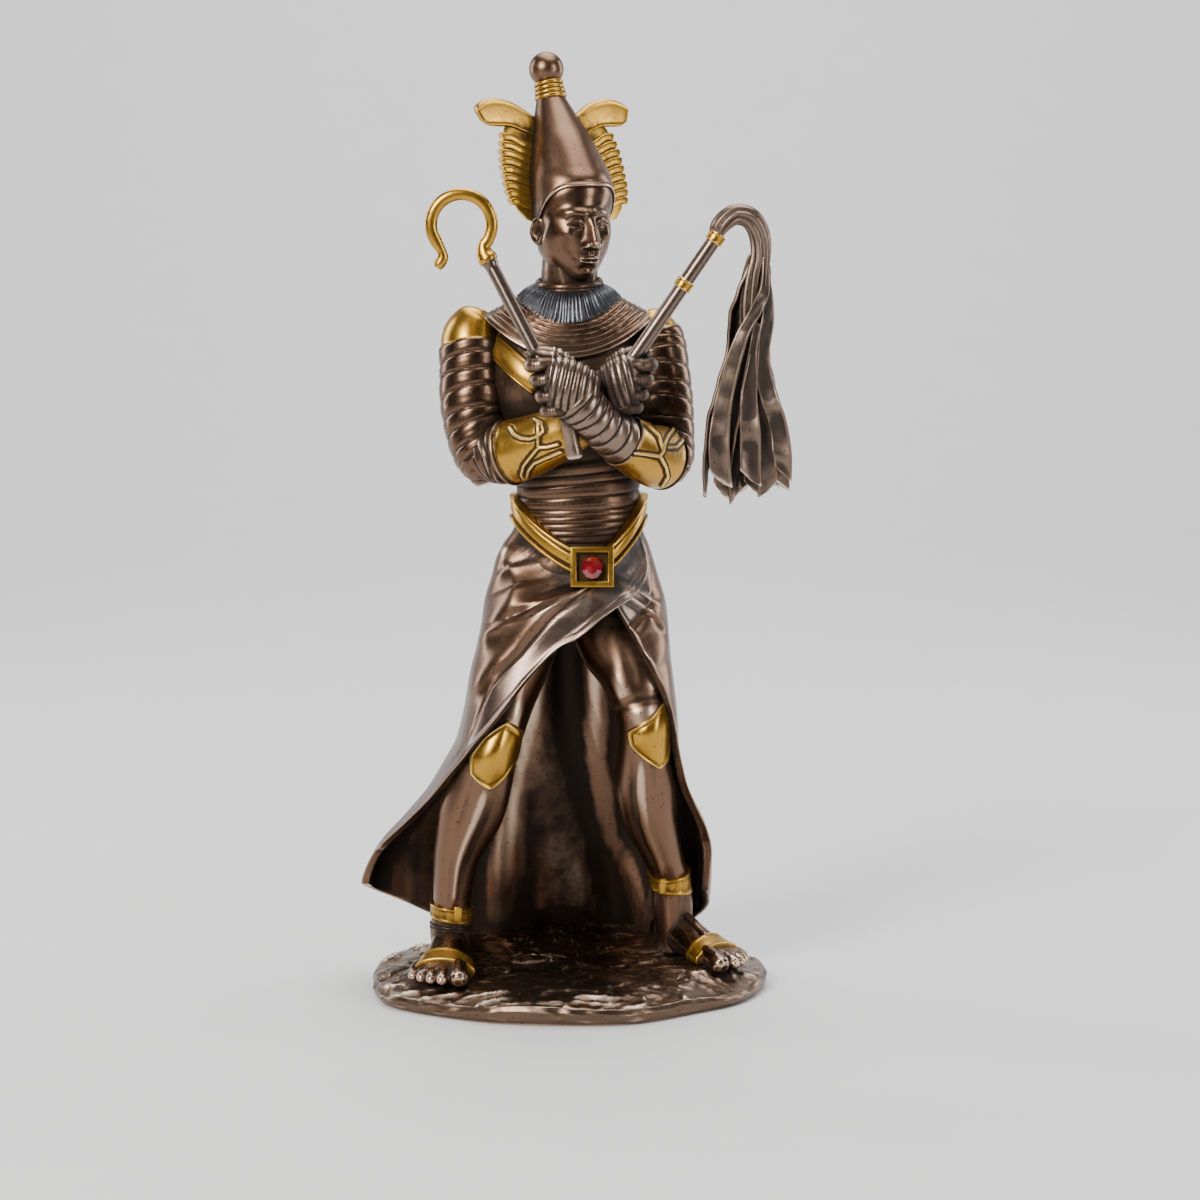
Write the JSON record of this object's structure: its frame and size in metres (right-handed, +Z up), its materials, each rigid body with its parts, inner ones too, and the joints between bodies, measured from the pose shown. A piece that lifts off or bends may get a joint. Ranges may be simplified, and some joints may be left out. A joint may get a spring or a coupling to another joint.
{
  "type": "osiris statuette",
  "caption": "Standing Osiris statuette on an oval rock, with tall feathered crown, broad collar, wrapped bands, robe, crook and flail.",
  "frame": {"origin": "on the flat underside of the rock, straight below the middle of the figure", "axes": "+X to the viewer's right when facing the figure, +Y away from the viewer, so the figure faces -Y, +Z up"},
  "size_m": [0.1345, 0.1085, 0.2913],
  "materials": {
    "antique_bronze": "dark brown patina in the recesses, copper-brown polish on the raised parts, gilt on the belt, bracers, shoulder, knee plates, foot bands, feathers and crown neck",
    "gilt": "satin gilt hook on a dark silvered shaft",
    "silvered_bronze": "dark bronze with silver-grey highlights on the straps, gilt rings on the shaft",
    "red_stone": "clear red, faceted and polished"
  },
  "bodies": {
    "root": {"figure": "antique_bronze", "crook": "gilt", "flail": "silvered_bronze", "buckle_stone": "red_stone"}
  },
  "joints": []
}
